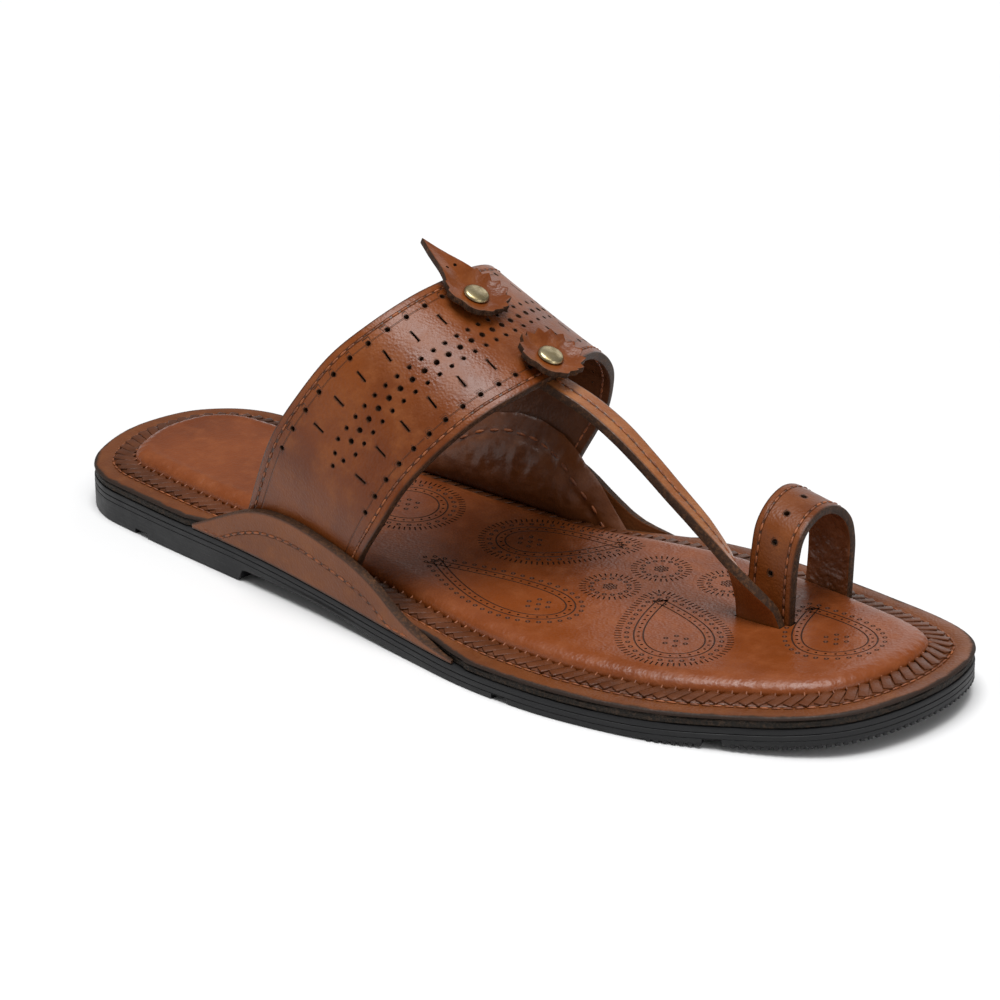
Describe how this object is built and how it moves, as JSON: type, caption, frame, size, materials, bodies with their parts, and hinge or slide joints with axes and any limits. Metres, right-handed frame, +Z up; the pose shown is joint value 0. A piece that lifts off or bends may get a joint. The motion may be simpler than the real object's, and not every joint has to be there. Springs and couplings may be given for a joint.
{
  "type": "kolhapuri sandal",
  "caption": "Open leather sandal with a broad arched instep band, a toe strap, a big-toe loop, a padded footbed and a low rubber sole with a heel.",
  "frame": {"origin": "The middle of the bounding box in x and y, on the plane that the heel and the forefoot rest on (z = 0).", "axes": "+X points to the toe, +Y to the big-toe side of the right foot, +Z up."},
  "size_m": [0.285, 0.1069, 0.099],
  "materials": {
    "tan_leather": "semi-gloss waxed tan leather with fine grain and dark raw edges",
    "footbed_leather": "polished tan leather over a soft pad, with tooled motifs",
    "edge_board": "dark stained edge of the stacked leather board",
    "sole_rubber": "matt black moulded rubber",
    "antique_brass": "antiqued brass, domed and lightly worn"
  },
  "bodies": {
    "root": {"outsole": "sole_rubber", "midsole": "edge_board", "rim": "tan_leather", "footbed": "footbed_leather", "wing_lateral": "tan_leather", "wing_medial": "tan_leather", "upper_straps": "tan_leather", "rosette_rear": "tan_leather", "rosette_front": "tan_leather", "rivet_rear": "antique_brass", "rivet_front": "antique_brass"}
  },
  "joints": []
}
